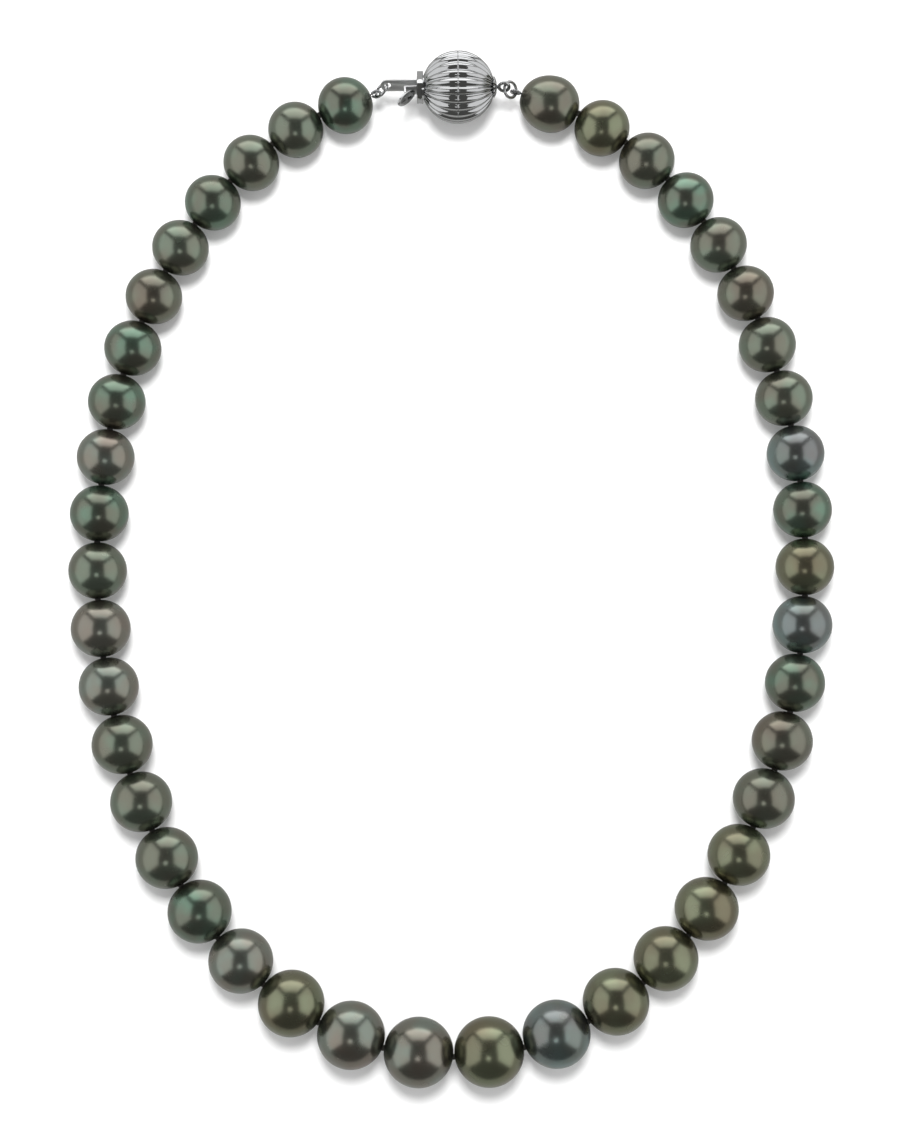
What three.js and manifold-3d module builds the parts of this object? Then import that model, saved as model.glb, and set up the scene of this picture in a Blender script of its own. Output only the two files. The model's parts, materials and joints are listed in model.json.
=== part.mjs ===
// Graduated pearl necklace with a fluted ball clasp, laid closed in an oval on a flat surface.
// Millimetres, +Z up, +Y towards the clasp. The necklace rests on z = 0 and its origin is the
// middle of its footprint. The left arm of the strand ends in the tongue, the right arm in the ball.
import * as THREE from 'three';
import { mergeVertices } from 'three/addons/utils/BufferGeometryUtils.js';
import Module from 'manifold-3d';

const wasm = await Module();
wasm.setup();

// ---- strand ----
const pearlCount = 42; // even, so the strand's front is the knot between its two largest pearls
const backDiameter = 9.0; // pearls beside the clasp
const frontDiameter = 11.5; // the two front pearls
const graduation = 2.8; // how late the pearls swell: 1 is an even taper, higher stays small longer
const dropStretch = 1.2; // the pearl at the ball end is a drop, this much longer on its clasp side
const pearlClearance = 0.12; // between the skins of neighbouring pearls
const boreDiameter = 0.9; // drill hole
const boreMouthDiameter = 1.4; // eased mouth of the drill hole
const boreMouthDepth = 0.35;
const silkDiameter = 0.5; // doubled silk
const knotLength = 0.8;

// ---- oval that the strand is laid in, as shares of its half width ----
const ovalLength = 1.525; // half length
const ovalShoulder = 0.056; // fills out the sides
const ovalEgg = 0.009; // broadens the front
const ovalTaper = 0.0814; // draws in the clasp end

// ---- links between strand and clasp ----
const ringShare = 0.26; // jump ring's outside diameter, as a share of the ball's
const ringWire = 0.5;
const bullionDiameter = 0.56; // coiled wire sleeve over the silk, outside
const bullionBore = 0.34;
const bullionLoopClearance = 0.09; // between the sleeve's loop and the ring's wire inside it
const bullionNeck = 0.2; // drill hole's mouth to the near side of the loop's centre line
const endSilkDiameter = 0.22; // single silk inside the sleeve
const tongueRingTurn = THREE.MathUtils.degToRad(34); // this ring hangs slack, turned from the clasp's axis
const eyeRingTurn = THREE.MathUtils.degToRad(19); // this ring lies in line with the strand's pull
const claspRise = 2.7; // clasp axis beyond the centres of the end pearls, along +Y

// ---- ball clasp: its axis is X, its centre its own origin, and it is rolled about its axis ----
const ballDiameter = 12;
const ballWall = 0.45; // at the bottom of a flute
const fluteCount = 24;
const fluteDepth = 0.4;
const claspRoll = Math.PI / 4;
const inletClearance = 0.1; // round the neck, in the inlet half's opening
const neckWall = 0.134; // outside the slot's corners
const neckLength = 0.6;
const slotPlateThickness = 1.05;
const slotPlateSideRim = 0.65; // plate beside the slot
const slotPlateEndRim = 0.525; // plate over and under the slot
const slotSideClearance = 0.3; // on each side of the tongue
const slotEndClearance = 0.35; // under the tongue, and over the spring leaf when it is pressed
const tongueWidth = 2.3;
const tongueThickness = 0.4;
const tongueReach = 4.8; // slot plate's outer face to the middle of the ring hole
const tongueEngagement = 7.6; // slot plate's outer face to the tongue's fold
const ringHoleClearance = 0.3; // round the jump ring's wire in the tongue
const leafWidth = 1.7;
const leafThickness = 0.3;
const foldGap = 0.35; // between tongue and leaf at the fold
const foldClearance = 0.08; // leaf's root to the fold
const leafRise = 0.6; // the leaf springs this far clear of the tongue at the slot plate's face
const catchHeight = 0.55; // shoulder on the leaf that stands behind the slot plate
const catchLength = 1.2;
const catchClearance = 0.12;
const tabLength = 4.2;
const tabWidth = 2.3;
const tabThickness = 0.4;
const tabSlope = THREE.MathUtils.degToRad(46);
const tabStandOff = 2.1; // slot plate's outer face to the tab's middle
const tabClearance = 0.25; // leaf to the tab's lower edge
const solderGap = 0.05;
const capDiameter = 3.6;
const capThickness = 0.3;
const capClearance = 0.08;
const postDiameter = 0.6;
const postHoleDiameter = 0.8;
const eyeDiameter = 2.2; // outside
const eyeWire = 0.58;

// ---- colours ----
const silver = { color: 0xd4d6da, roughness: 0.15, metalness: 1 };
const bullionSilver = { color: 0xc4c6ca, roughness: 0.3, metalness: 1 };
const silkBlack = { color: 0x23241f, roughness: 0.85, metalness: 0 };
const pearlDark = { color: 0x4a5048, roughness: 0.2, metalness: 0.1 };

const half = pearlCount / 2;
const X = new THREE.Vector3(1, 0, 0);
const Z = new THREE.Vector3(0, 0, 1);
const necklace = new THREE.Group();

// ---- helpers ----
function addPiece(parent, name, geometry, finish) {
  const mesh = new THREE.Mesh(geometry, new THREE.MeshStandardMaterial(finish));
  mesh.name = name;
  parent.add(mesh);
  return mesh;
}

function toSolid(geometry) {
  const bare = geometry.clone();
  bare.deleteAttribute('normal');
  bare.deleteAttribute('uv');
  const merged = mergeVertices(bare, 1e-5);
  const vertProperties = new Float32Array(merged.attributes.position.array);
  const triVerts = new Uint32Array(merged.index.array);
  return new wasm.Manifold(new wasm.Mesh({ numProp: 3, vertProperties, triVerts }));
}

function toGeometry(solid) {
  const mesh = solid.getMesh();
  const geometry = new THREE.BufferGeometry();
  geometry.setAttribute('position', new THREE.BufferAttribute(new Float32Array(mesh.vertProperties), 3));
  geometry.setIndex(new THREE.BufferAttribute(new Uint32Array(mesh.triVerts), 1));
  geometry.computeVertexNormals();
  return geometry;
}

// A lathe turned about X, with a flat of its skin facing straight down.
function turnedAboutX(profile, segments) {
  const geometry = new THREE.LatheGeometry(profile, segments, Math.PI / segments);
  geometry.rotateZ(-Math.PI / 2);
  return geometry;
}

function box(x0, x1, y0, y1, z0, z1) {
  const geometry = new THREE.BoxGeometry(x1 - x0, y1 - y0, z1 - z0);
  geometry.translate((x0 + x1) / 2, (y0 + y1) / 2, (z0 + z1) / 2);
  return geometry;
}

function rodBetween(a, b, diameter, sides) {
  const along = new THREE.Vector3().subVectors(b, a);
  const geometry = new THREE.CylinderGeometry(diameter / 2, diameter / 2, along.length(), sides);
  geometry.rotateZ(-Math.PI / 2);
  geometry.applyQuaternion(new THREE.Quaternion().setFromUnitVectors(X, along.normalize()));
  const middle = new THREE.Vector3().addVectors(a, b).multiplyScalar(0.5);
  return geometry.translate(middle.x, middle.y, middle.z);
}

// Value of x in [low, high] where the rising function reaches zero.
function rootOf(rising, low, high) {
  for (let i = 0; i < 60; i += 1) {
    const middle = (low + high) / 2;
    if (rising(middle) > 0) high = middle;
    else low = middle;
  }
  return (low + high) / 2;
}

// ---- the strand's layout ----
// Pearls are numbered from the tongue end round the front to the ball end, from 1.
function pearlRadius(stepsFromFront) {
  const share = 1 - stepsFromFront / (half - 1);
  return (backDiameter + (frontDiameter - backDiameter) * share ** graduation) / 2;
}

function ovalPoint(t, halfWidth) {
  const x = Math.cos(t) + ovalShoulder * Math.cos(3 * t);
  const y = ovalLength * Math.sin(t) + ovalEgg * Math.cos(2 * t) + ovalTaper * Math.sin(3 * t);
  return new THREE.Vector2(halfWidth * x, halfWidth * y);
}

// Places of the right arm's pearls, from the front pearl to the end pearl.
function layArm(halfWidth) {
  const front = -Math.PI / 2;
  let t = rootOf(
    (a) => ovalPoint(a, halfWidth).x - pearlRadius(0) - pearlClearance / 2, front, front + 1);
  const places = [ovalPoint(t, halfWidth)];
  const angles = [t];
  for (let i = 1; i < half; i += 1) {
    const from = places[i - 1];
    const spacing = pearlRadius(i - 1) + pearlRadius(i) + pearlClearance;
    t = rootOf((a) => ovalPoint(a, halfWidth).distanceTo(from) - spacing, t, t + 0.8);
    places.push(ovalPoint(t, halfWidth));
    angles.push(t);
  }
  return { places, angles };
}

// Clasp dimensions along its axis and across it, in its own unrolled frame.
const ballRadius = ballDiameter / 2;
const stackHeight = tongueThickness + foldGap + leafThickness + leafRise;
const slotWidth = tongueWidth + 2 * slotSideClearance;
const slotHeight = stackHeight + 2 * slotEndClearance;
const neckDiameter = Math.hypot(slotWidth, slotHeight) + 2 * neckWall;
const inletDiameter = neckDiameter + 2 * inletClearance;
const inletFace = -Math.sqrt(ballRadius ** 2 - (inletDiameter / 2) ** 2);
const plateInner = inletFace - 0.1;
const plateOuter = plateInner - slotPlateThickness;
const foldX = plateOuter + tongueEngagement;
const ringHoleX = plateOuter - tongueReach;
const leafAngle = Math.atan2(leafRise, foldX - plateOuter);
const tongueZ = -stackHeight / 2; // tongue's outer face
const capCrown = ballRadius + capClearance + capThickness;
const eyeX = capCrown + capClearance + eyeDiameter / 2;
const ringDiameter = ringShare * ballDiameter;
const ringRadius = (ringDiameter - ringWire) / 2;
const ringHoleDiameter = ringWire + 2 * ringHoleClearance;
const bullionLoopDiameter = ringWire + bullionDiameter + 2 * bullionLoopClearance;
const bullionStandOff = bullionLoopDiameter / 2 + bullionNeck;

// Where the jump rings pass through the clasp, from the ball's centre, rolled into place.
const rolled = (x, y, z) => new THREE.Vector3(x, y, z).applyAxisAngle(X, claspRoll);
const tongueHole = rolled(ringHoleX, 0, tongueZ + tongueThickness / 2);
const eyeHole = rolled(eyeX, 0, 0);
const endRadius = pearlRadius(half - 1);

// A ring lies from its hole to the bullion's loop, down to the height of the end pearl's drill hole.
function ringChord(hole, turn, side) {
  const drop = ballRadius + hole.z - endRadius;
  const across = Math.sqrt((2 * ringRadius) ** 2 - drop ** 2);
  return new THREE.Vector3(side * across * Math.cos(turn), -across * Math.sin(turn), -drop);
}
const tongueChord = ringChord(tongueHole, tongueRingTurn, -1);
const eyeChord = ringChord(eyeHole, eyeRingTurn, 1);

// Distance along X from a hole to the end pearl's middle.
function linkReach(mouth, hole, chord) {
  const rise = claspRise + hole.y + chord.y;
  return Math.abs(chord.x) + Math.sqrt((mouth + bullionStandOff) ** 2 - rise ** 2);
}
const leftAcross = linkReach(endRadius, tongueHole, tongueChord);
const rightAcross = linkReach(endRadius * dropStretch, eyeHole, eyeChord);
const claspSpan = leftAcross - tongueHole.x + eyeHole.x + rightAcross;

// The oval is as wide as it takes for both arms to meet the clasp.
let strandLength = 0;
for (let i = 0; i < half; i += 1) strandLength += 4 * pearlRadius(i) + 2 * pearlClearance;
const halfWidth = rootOf(
  (w) => layArm(w).places[half - 1].x - claspSpan / 2, strandLength / 10, strandLength / 6);
const arm = layArm(halfWidth);
const endPlace = arm.places[half - 1];
const claspCentre = new THREE.Vector3(
  endPlace.x - rightAcross - eyeHole.x, endPlace.y + claspRise, ballRadius);

function ovalDirection(t) {
  const step = 1e-4;
  return ovalPoint(t + step, halfWidth).sub(ovalPoint(t - step, halfWidth)).normalize();
}

// Each pearl's middle and the direction of its drill hole, from the tongue end to the ball end.
const pearls = [];
for (let i = 0; i < half; i += 1) {
  const radius = pearlRadius(i);
  const place = arm.places[i];
  const direction = ovalDirection(arm.angles[i]);
  const right = { radius, middle: new THREE.Vector3(place.x, place.y, radius) };
  const left = { radius, middle: new THREE.Vector3(-place.x, place.y, radius) };
  right.heading = Math.atan2(direction.y, direction.x);
  left.heading = Math.atan2(-direction.y, direction.x);
  if (i === half - 1) {
    const toEye = claspCentre.clone().add(eyeHole).add(eyeChord).sub(right.middle);
    const toTongue = claspCentre.clone().add(tongueHole).add(tongueChord).sub(left.middle);
    right.heading = Math.atan2(toEye.y, toEye.x);
    left.heading = Math.atan2(-toTongue.y, -toTongue.x);
  }
  right.stretch = i === half - 1 ? dropStretch : 1;
  left.stretch = 1;
  pearls.push(right);
  pearls.unshift(left);
}
for (const pearl of pearls) {
  pearl.along = new THREE.Vector3(Math.cos(pearl.heading), Math.sin(pearl.heading), 0);
  const reach = Math.sqrt(pearl.radius ** 2 - (boreMouthDiameter / 2) ** 2);
  pearl.mouthReach = reach;
  pearl.entry = pearl.middle.clone().addScaledVector(pearl.along, -reach);
  pearl.exit = pearl.middle.clone().addScaledVector(pearl.along, reach * pearl.stretch);
}

// ---- pearls: each is drilled through, and its drill hole's mouths are eased ----
const pearlSides = 10;
const pearlBands = [36, 74, 106, 144]; // degrees from the drill hole to the edges of the skin's bands

function pearlGeometry(pearl) {
  const mouth = boreMouthDiameter / 2;
  const bore = boreDiameter / 2;
  const reach = pearl.mouthReach;
  // The bands stand out until their flats touch the round skin.
  const bandRadius = pearl.radius / Math.cos(THREE.MathUtils.degToRad(16));
  const roundness = 1 / Math.cos(Math.PI / pearlSides);
  const stretched = (y) => (y > 0 ? y * pearl.stretch : y);
  const profile = [new THREE.Vector2(bore, -reach + boreMouthDepth), new THREE.Vector2(mouth, -reach)];
  for (const degrees of [...pearlBands].reverse()) {
    const angle = THREE.MathUtils.degToRad(degrees);
    const flat = bandRadius * Math.sin(angle) * roundness;
    profile.push(new THREE.Vector2(flat, stretched(bandRadius * Math.cos(angle))));
  }
  profile.push(new THREE.Vector2(mouth, stretched(reach)));
  profile.push(new THREE.Vector2(bore, stretched(reach) - boreMouthDepth));
  profile.push(profile[0].clone());
  return turnedAboutX(profile, pearlSides);
}

pearls.forEach((pearl, i) => {
  const name = `pearl_${String(i + 1).padStart(2, '0')}`;
  const mesh = addPiece(necklace, name, pearlGeometry(pearl), pearlDark);
  mesh.position.copy(pearl.middle);
  mesh.rotation.z = pearl.heading;
});

// ---- links: a jump ring through each end of the clasp, and a bullion loop through each ring ----
function linkFrame(end, hole, holeAxis) {
  const holePlace = new THREE.Vector3().addVectors(claspCentre, hole);
  const loopPlace = end.mouth.clone().addScaledVector(end.outward, bullionStandOff);
  const pull = new THREE.Vector3().subVectors(loopPlace, holePlace).normalize();
  const ringNormal = new THREE.Vector3().crossVectors(pull, holeAxis).normalize();
  const wireAlong = new THREE.Vector3().crossVectors(ringNormal, pull);
  return { holePlace, loopPlace, pull, ringNormal, wireAlong };
}

function addRing(name, link) {
  const geometry = new THREE.TorusGeometry(ringRadius, ringWire / 2, 8, 18);
  const mesh = addPiece(necklace, name, geometry, silver);
  const middle = new THREE.Vector3().addVectors(link.holePlace, link.loopPlace).multiplyScalar(0.5);
  mesh.position.copy(middle);
  mesh.quaternion.setFromUnitVectors(Z, link.ringNormal);
}

// Arc of the bullion's loop round the jump ring's wire, open towards the pearl.
class LoopArc extends THREE.Curve {
  constructor(middle, outward, across, opening) {
    super();
    Object.assign(this, { middle, outward, across, opening });
  }

  getPoint(share) {
    const angle = this.opening + share * 2 * (Math.PI - this.opening);
    return this.middle.clone()
      .addScaledVector(this.outward, -Math.cos(angle) * bullionLoopDiameter / 2)
      .addScaledVector(this.across, Math.sin(angle) * bullionLoopDiameter / 2);
  }
}

function circleShape(diameter, sides, holeDiameter) {
  const corner = (k, d) => new THREE.Vector2(
    Math.cos(2 * Math.PI * k / sides) * d / 2, Math.sin(2 * Math.PI * k / sides) * d / 2);
  const corners = (d) => Array.from({ length: sides }, (_, k) => corner(k, d));
  const shape = new THREE.Shape(corners(diameter));
  if (holeDiameter) shape.holes.push(new THREE.Path(corners(holeDiameter).reverse()));
  return shape;
}

function sweep(shape, curve, steps) {
  return new THREE.ExtrudeGeometry(shape, { steps, bevelEnabled: false, extrudePath: curve });
}

const bullionOpening = Math.asin(bullionDiameter / bullionLoopDiameter) + 0.08;
const leftEnd = { mouth: pearls[0].entry, outward: pearls[0].along.clone().negate() };
const rightEnd = { mouth: pearls[pearlCount - 1].exit, outward: pearls[pearlCount - 1].along };
const leftLink = linkFrame(leftEnd, tongueHole, Z.clone().applyAxisAngle(X, claspRoll));
const rightLink = linkFrame(rightEnd, eyeHole, new THREE.Vector3(0, 1, 0));
for (const [end, link] of [[leftEnd, leftLink], [rightEnd, rightLink]]) {
  // The loop stands square to the ring's wire, which may lean from the drill hole.
  const across = new THREE.Vector3().crossVectors(link.wireAlong, end.outward).normalize();
  const outward = new THREE.Vector3().crossVectors(across, link.wireAlong);
  end.loop = new LoopArc(link.loopPlace, outward, across, bullionOpening);
}
addRing('tongue_ring', leftLink);
addRing('ball_ring', rightLink);
for (const [name, end] of [['bullion_left', leftEnd], ['bullion_right', rightEnd]]) {
  addPiece(necklace, name, sweep(circleShape(bullionDiameter, 8, bullionBore), end.loop, 10), bullionSilver);
}

// ---- silk: a run through every drill hole, a knot after every pearl, a loop in each bullion ----
function endLoopSolid(end) {
  const arc = sweep(circleShape(endSilkDiameter, 6), end.loop, 10);
  let loop = toSolid(arc);
  for (const share of [0, 1]) {
    const start = end.loop.getPoint(share === 0 ? 0.02 : 0.98);
    const inside = end.mouth.clone().addScaledVector(end.outward, -boreMouthDepth);
    loop = loop.add(toSolid(rodBetween(start, inside, endSilkDiameter, 6)));
  }
  return loop;
}

const silkStops = [
  pearls[0].entry.clone().addScaledVector(pearls[0].along, boreMouthDepth / 2),
  ...pearls.slice(1).map(
    (pearl, i) => new THREE.Vector3().addVectors(pearls[i].exit, pearl.entry).multiplyScalar(0.5)),
  pearls[pearlCount - 1].exit.clone().addScaledVector(pearls[pearlCount - 1].along, -boreMouthDepth / 2),
];
const silkAt = [0]; // length of silk up to each stop
for (let i = 1; i < silkStops.length; i += 1) {
  silkAt.push(silkAt[i - 1] + silkStops[i].distanceTo(silkStops[i - 1]));
}

// Moves a point beside straight silk, which runs along X, to its place beside the laid silk.
function layBesideSilk(point) {
  let run = 1;
  while (run < silkAt.length - 1 && point.x > silkAt[run] + 1e-6) run += 1;
  const along = new THREE.Vector3().subVectors(silkStops[run], silkStops[run - 1]);
  const share = (point.x - silkAt[run - 1]) / along.length();
  const place = silkStops[run - 1].clone().addScaledVector(along, share);
  along.normalize();
  if (Math.abs(point.x - silkAt[run]) < 1e-4 && run < silkAt.length - 1) {
    along.add(new THREE.Vector3().subVectors(silkStops[run + 1], silkStops[run]).normalize()).normalize();
  }
  return place.addScaledVector(new THREE.Vector3().crossVectors(Z, along), point.y)
    .addScaledVector(Z, point.z);
}

// Straight silk with its knots, turned about X, then laid through the drill holes.
function silkGeometry() {
  const thin = silkDiameter / 2;
  const knot = boreMouthDiameter / 2 - 0.1;
  const end = silkAt[silkAt.length - 1];
  const profile = [[0, 0], [thin, 0]];
  for (const at of silkAt.slice(1, -1)) {
    profile.push([thin, at - knotLength / 2], [knot, at], [thin, at + knotLength / 2]);
  }
  profile.push([thin, end], [0, end]);
  const geometry = turnedAboutX(profile.map(([radius, x]) => new THREE.Vector2(radius, x)), 6);
  const place = geometry.attributes.position;
  for (let i = 0; i < place.count; i += 1) {
    const laid = layBesideSilk(new THREE.Vector3().fromBufferAttribute(place, i));
    place.setXYZ(i, laid.x, laid.y, laid.z);
  }
  return toGeometry(toSolid(geometry).add(endLoopSolid(leftEnd)).add(endLoopSolid(rightEnd)));
}
addPiece(necklace, 'silk_thread', silkGeometry(), silkBlack);

// ---- ball clasp ----
const clasp = new THREE.Group();
clasp.position.copy(claspCentre);
clasp.rotation.x = claspRoll;
necklace.add(clasp);

// One stamped half of the ball: side -1 holds the slot plate, side 1 the eye.
function ballHalf(side, openingDiameter) {
  const outer = ballRadius;
  const inner = ballRadius - fluteDepth - ballWall;
  const rows = 4;
  const opening = openingDiameter / 2;
  const arc = (radius, from, to) => Array.from({ length: rows + 1 }, (_, k) => {
    const angle = from + (to - from) * k / rows;
    return new THREE.Vector2(radius * Math.sin(angle), side * radius * Math.cos(angle));
  });
  const skin = arc(outer, Math.asin(opening / outer), Math.PI / 2);
  const lining = arc(inner, Math.PI / 2, Math.asin(opening / inner));
  const profile = [...skin, ...lining, skin[0].clone()];
  if (side > 0) profile.reverse();
  const geometry = new THREE.LatheGeometry(profile, fluteCount * 2);
  // Every second line of the skin is pressed in, to nothing at the opening.
  const place = geometry.attributes.position;
  for (let i = 0; i < place.count; i += 1) {
    const vertex = new THREE.Vector3().fromBufferAttribute(place, i);
    const line = Math.round(Math.atan2(vertex.x, vertex.z) / Math.PI * fluteCount);
    const fromAxis = Math.hypot(vertex.x, vertex.z);
    const onSkin = vertex.length() > (outer + inner) / 2;
    if (onSkin && Math.abs(line) % 2 === 1) {
      const share = Math.min(1, (fromAxis - opening) / (outer / 3));
      vertex.multiplyScalar(1 - share * fluteDepth / outer);
      place.setXYZ(i, vertex.x, vertex.y, vertex.z);
    }
  }
  geometry.rotateZ(-Math.PI / 2);
  return geometry;
}
addPiece(clasp, 'ball_half_inlet', ballHalf(-1, inletDiameter), silver);
addPiece(clasp, 'ball_half_end', ballHalf(1, postHoleDiameter), silver);

function slotPlateGeometry() {
  const halfPlateWidth = slotWidth / 2 + slotPlateSideRim;
  const halfPlateHeight = slotHeight / 2 + slotPlateEndRim;
  const plate = toSolid(box(plateOuter, plateInner, -halfPlateWidth, halfPlateWidth,
    -halfPlateHeight, halfPlateHeight));
  const neckStart = (plateOuter + plateInner) / 2;
  const neckEnd = plateInner + neckLength;
  const neck = toSolid(rodBetween(
    new THREE.Vector3(neckStart, 0, 0), new THREE.Vector3(neckEnd, 0, 0), neckDiameter, 20));
  const slot = toSolid(box(plateOuter - 1, neckEnd + 1, -slotWidth / 2, slotWidth / 2,
    -slotHeight / 2, slotHeight / 2));
  return toGeometry(plate.add(neck).subtract(slot));
}
addPiece(clasp, 'slot_plate', slotPlateGeometry(), silver);

// Sheet metal cut to an outline in the X-Y plane, from bottom to bottom + thickness.
function sheet(shape, bottom, thickness) {
  const geometry = new THREE.ExtrudeGeometry(shape, { depth: thickness, bevelEnabled: false });
  return geometry.translate(0, 0, bottom);
}

// A strip with one round end at x = roundX, square at x = squareX.
function stripShape(roundX, squareX, width, holeDiameter) {
  const shape = new THREE.Shape();
  shape.moveTo(squareX, -width / 2);
  shape.lineTo(squareX, width / 2);
  shape.lineTo(roundX, width / 2);
  for (let k = 1; k < 8; k += 1) {
    const angle = Math.PI / 2 + Math.PI * k / 8;
    shape.lineTo(roundX + Math.cos(angle) * width / 2, Math.sin(angle) * width / 2);
  }
  shape.lineTo(roundX, -width / 2);
  if (holeDiameter) {
    const hole = new THREE.Path();
    hole.absarc(roundX, 0, holeDiameter / 2, 0, 2 * Math.PI, true);
    shape.holes.push(hole);
  }
  return shape;
}

function ribbon(outline, width) {
  const shape = new THREE.Shape(outline.map(([x, z]) => new THREE.Vector2(x, z)));
  const geometry = new THREE.ExtrudeGeometry(shape, { depth: width, bevelEnabled: false });
  geometry.rotateX(Math.PI / 2);
  return geometry.translate(0, width / 2, 0);
}

const tongueTop = tongueZ + tongueThickness;
const leafRootZ = tongueTop + foldGap; // underside of the leaf at the fold

// The tongue: a strip with the ring hole, turned back on itself at the fold.
function tongueGeometry() {
  const strip = toSolid(sheet(
    stripShape(ringHoleX, foldX, tongueWidth, ringHoleDiameter), tongueZ, tongueThickness));
  const foldOuter = (leafRootZ + leafThickness - tongueZ) / 2;
  const foldInner = foldGap / 2;
  const middleZ = (leafRootZ + leafThickness + tongueZ) / 2;
  const innerZ = (leafRootZ + tongueTop) / 2;
  const outline = [];
  for (let k = 0; k <= 6; k += 1) {
    const angle = -Math.PI / 2 + Math.PI * k / 6;
    outline.push([foldX + foldOuter * Math.cos(angle), middleZ + foldOuter * Math.sin(angle)]);
  }
  for (let k = 6; k >= 0; k -= 1) {
    const angle = -Math.PI / 2 + Math.PI * k / 6;
    outline.push([foldX + foldInner * Math.cos(angle), innerZ + foldInner * Math.sin(angle)]);
  }
  const bend = toSolid(ribbon(outline, tongueWidth));
  const overlap = toSolid(box(foldX - 0.05, foldX + 0.05, -tongueWidth / 2, tongueWidth / 2,
    tongueZ, tongueTop));
  return toGeometry(strip.add(overlap).add(bend));
}
addPiece(clasp, 'tongue', tongueGeometry(), silver);

// The leaf springs from the fold, in a frame whose X runs out along the leaf.
const leaf = new THREE.Group();
leaf.position.set(foldX - foldClearance, 0, leafRootZ);
leaf.rotation.y = leafAngle;
clasp.add(leaf);

const leafTo = (x) => x - foldX; // place along the leaf of a place along the clasp
const catchX = leafTo(plateInner + neckLength + catchClearance);
const riserX = leafTo(plateOuter - tabStandOff);
const tabMiddleZ = leafThickness + tabClearance + Math.sin(tabSlope) * tabLength / 2;
const riserTop = tabMiddleZ - Math.tan(tabSlope) * leafThickness / 2 - solderGap;

function leafGeometry() {
  const outline = [
    [0, 0],
    [0, leafThickness],
    [catchX + catchLength, leafThickness],
    [catchX, leafThickness + catchHeight],
    [catchX, leafThickness],
    [riserX + leafThickness, leafThickness],
    [riserX + leafThickness, riserTop],
    [riserX, riserTop],
    [riserX, 0],
  ];
  return ribbon(outline, leafWidth);
}
addPiece(leaf, 'spring_leaf', leafGeometry(), silver);

// The thumb tab: an oval pad soldered on the leaf's turned-up end, sloping up away from the ball.
function tabGeometry() {
  const oval = new THREE.Shape();
  oval.absellipse(0, 0, tabLength / 2, tabWidth / 2, 0, 2 * Math.PI);
  const pad = new THREE.ExtrudeGeometry(oval, {
    depth: tabThickness, bevelEnabled: false, curveSegments: 10 });
  pad.rotateY(tabSlope);
  return pad.translate(riserX + leafThickness / 2, 0, tabMiddleZ);
}
addPiece(leaf, 'thumb_tab', tabGeometry(), silver);

// The scalloped cap where the flutes meet at the ball's far end, and the eye through it.
function capGeometry() {
  const rim = capDiameter / 2;
  const hole = postHoleDiameter / 2;
  const seat = (y) => Math.sqrt((ballRadius + capClearance) ** 2 - y ** 2);
  const profile = [
    [hole, seat(hole)], [rim * 0.6, seat(rim * 0.6)], [rim, seat(rim)],
    [rim, seat(rim) + capThickness * 0.5], [rim * 0.6, capCrown - rim * 0.05], [hole, capCrown],
    [hole, seat(hole)]].map(([y, x]) => new THREE.Vector2(y, x));
  return turnedAboutX(profile, 16);
}
addPiece(clasp, 'end_cap', capGeometry(), silver);

function eyeGeometry() {
  const ring = new THREE.TorusGeometry((eyeDiameter - eyeWire) / 2, eyeWire / 2, 8, 16);
  ring.translate(eyeX, 0, 0);
  const inside = ballRadius - fluteDepth - ballWall;
  const post = rodBetween(
    new THREE.Vector3(inside - 0.6, 0, 0),
    new THREE.Vector3(eyeX - eyeDiameter / 2 + eyeWire * 0.7, 0, 0), postDiameter, 8);
  const head = rodBetween(
    new THREE.Vector3(inside - 0.7, 0, 0), new THREE.Vector3(inside - 0.3, 0, 0),
    postHoleDiameter * 1.8, 12);
  return toGeometry(toSolid(ring).add(toSolid(post)).add(toSolid(head)));
}
addPiece(clasp, 'ball_eye', eyeGeometry(), silver);

// The origin is the middle of the footprint.
necklace.updateMatrixWorld(true);
const reach = new THREE.Box3().setFromObject(necklace, true);
necklace.position.set(-(reach.min.x + reach.max.x) / 2, -(reach.min.y + reach.max.y) / 2, 0);
necklace.updateMatrixWorld(true);

export default necklace;
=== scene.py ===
import json
import math

import bmesh
import bpy
from mathutils import Matrix, Vector


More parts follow.
